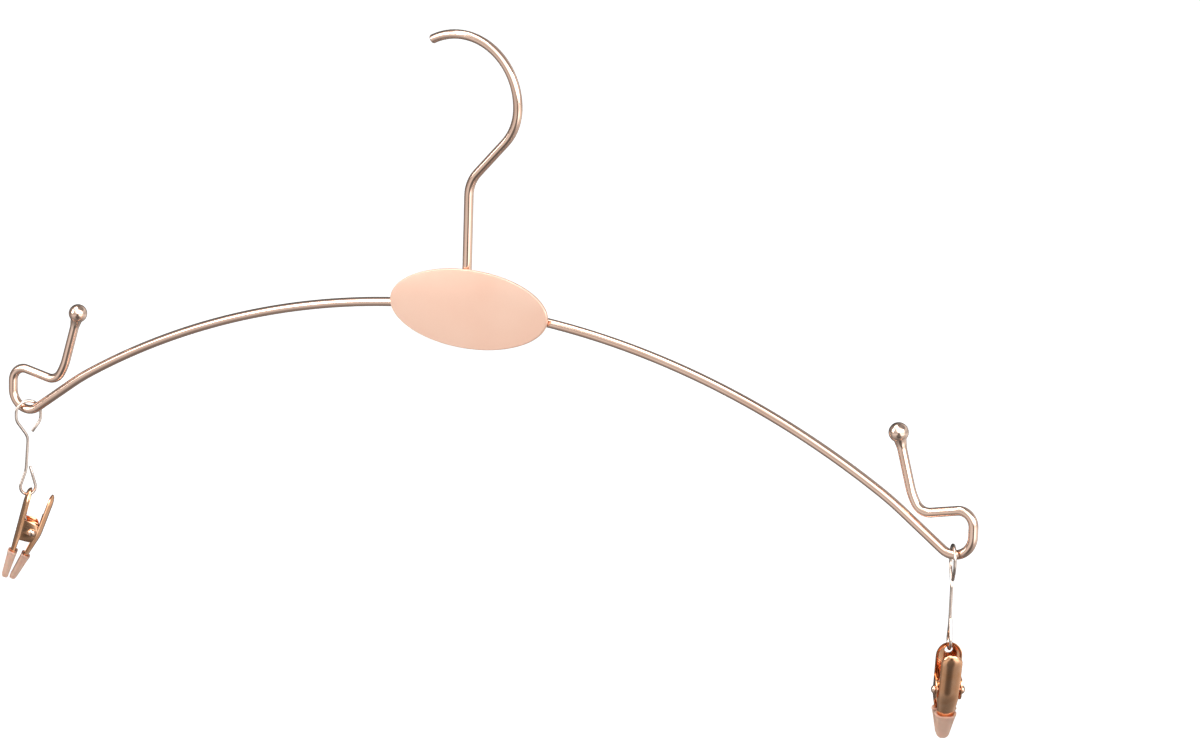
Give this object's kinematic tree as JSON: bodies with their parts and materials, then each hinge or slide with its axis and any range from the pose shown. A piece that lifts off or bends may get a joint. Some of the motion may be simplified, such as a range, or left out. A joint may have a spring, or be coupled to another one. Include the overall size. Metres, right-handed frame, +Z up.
{
  "type": "clip hanger",
  "caption": "Rose gold wire drying hanger: open hook, oval plate, arched arms with upright ball tips, and sprung clips hanging on wire links.",
  "frame": {"origin": "seat of the rail, the inner top of the hook", "axes": "+X along the arms, away from the hook's open side; +Y towards the back; +Z up; the oval plate faces -Y"},
  "size_m": [0.363, 0.0157, 0.2033],
  "materials": {
    "rose_wire": "polished rose gold plating on steel wire",
    "satin_plate": "satin rose gold plating on stamped steel",
    "ball_finish": "polished rose gold plating",
    "link_finish": "polished rose gold plating on thin wire",
    "jaw_finish": "polished rose gold plating on stamped steel",
    "pin_finish": "plated rivet pin",
    "spring_finish": "plain spring steel wire",
    "sleeve_finish": "soft tan plastic dip, slightly clear"
  },
  "bodies": {
    "hanger_body": {"hook_wire": "rose_wire", "oval_plate": "satin_plate", "frame_wire": "rose_wire", "left_ball_tip": "ball_finish", "right_ball_tip": "ball_finish"},
    "left_link_body": {"left_link": "link_finish"},
    "left_clip_body": {"left_hanging_jaw": "jaw_finish", "left_hinge_pin": "pin_finish", "left_torsion_spring": "spring_finish", "left_hanging_sleeve": "sleeve_finish"},
    "left_front_jaw_body": {"left_front_jaw": "jaw_finish", "left_front_sleeve": "sleeve_finish"},
    "right_link_body": {"right_link": "link_finish"},
    "right_clip_body": {"right_hanging_jaw": "jaw_finish", "right_hinge_pin": "pin_finish", "right_torsion_spring": "spring_finish", "right_hanging_sleeve": "sleeve_finish"},
    "right_front_jaw_body": {"right_front_jaw": "jaw_finish", "right_front_sleeve": "sleeve_finish"}
  },
  "joints": [
    {"name": "left_link_swing", "type": "hinge", "parent": "hanger_body", "child": "left_link_body", "pos_m": [-0.1671, 0, -0.14128], "axis": [1, 0, 0], "range_deg": [-30, 30]},
    {"name": "left_clip_swing", "type": "hinge", "parent": "left_link_body", "child": "left_clip_body", "pos_m": [-0.16708, 0.00002, -0.16806], "axis": [-0.7431, 0.6691, 0], "range_deg": [-20, 20]},
    {"name": "left_jaw_open", "type": "hinge", "parent": "left_clip_body", "child": "left_front_jaw_body", "pos_m": [-0.16569, 0.00089, -0.18316], "axis": [0.5299, -0.848, 0], "range_deg": [0, 22], "stiffness_Nm_per_rad": 0.05, "springref_deg": -45.84, "deforming": ["left_torsion_spring"]},
    {"name": "right_link_swing", "type": "hinge", "parent": "hanger_body", "child": "right_link_body", "pos_m": [0.18008, 0, -0.14128], "axis": [1, 0, 0], "range_deg": [-30, 30]},
    {"name": "right_clip_swing", "type": "hinge", "parent": "right_link_body", "child": "right_clip_body", "pos_m": [0.18009, -0.00002, -0.16806], "axis": [0.8192, 0.5736, 0], "range_deg": [-20, 20]},
    {"name": "right_jaw_open", "type": "hinge", "parent": "right_clip_body", "child": "right_front_jaw_body", "pos_m": [0.18104, -0.00137, -0.18316], "axis": [-0.8192, -0.5736, 0], "range_deg": [0, 22], "stiffness_Nm_per_rad": 0.05, "springref_deg": -45.84, "deforming": ["right_torsion_spring"]}
  ]
}
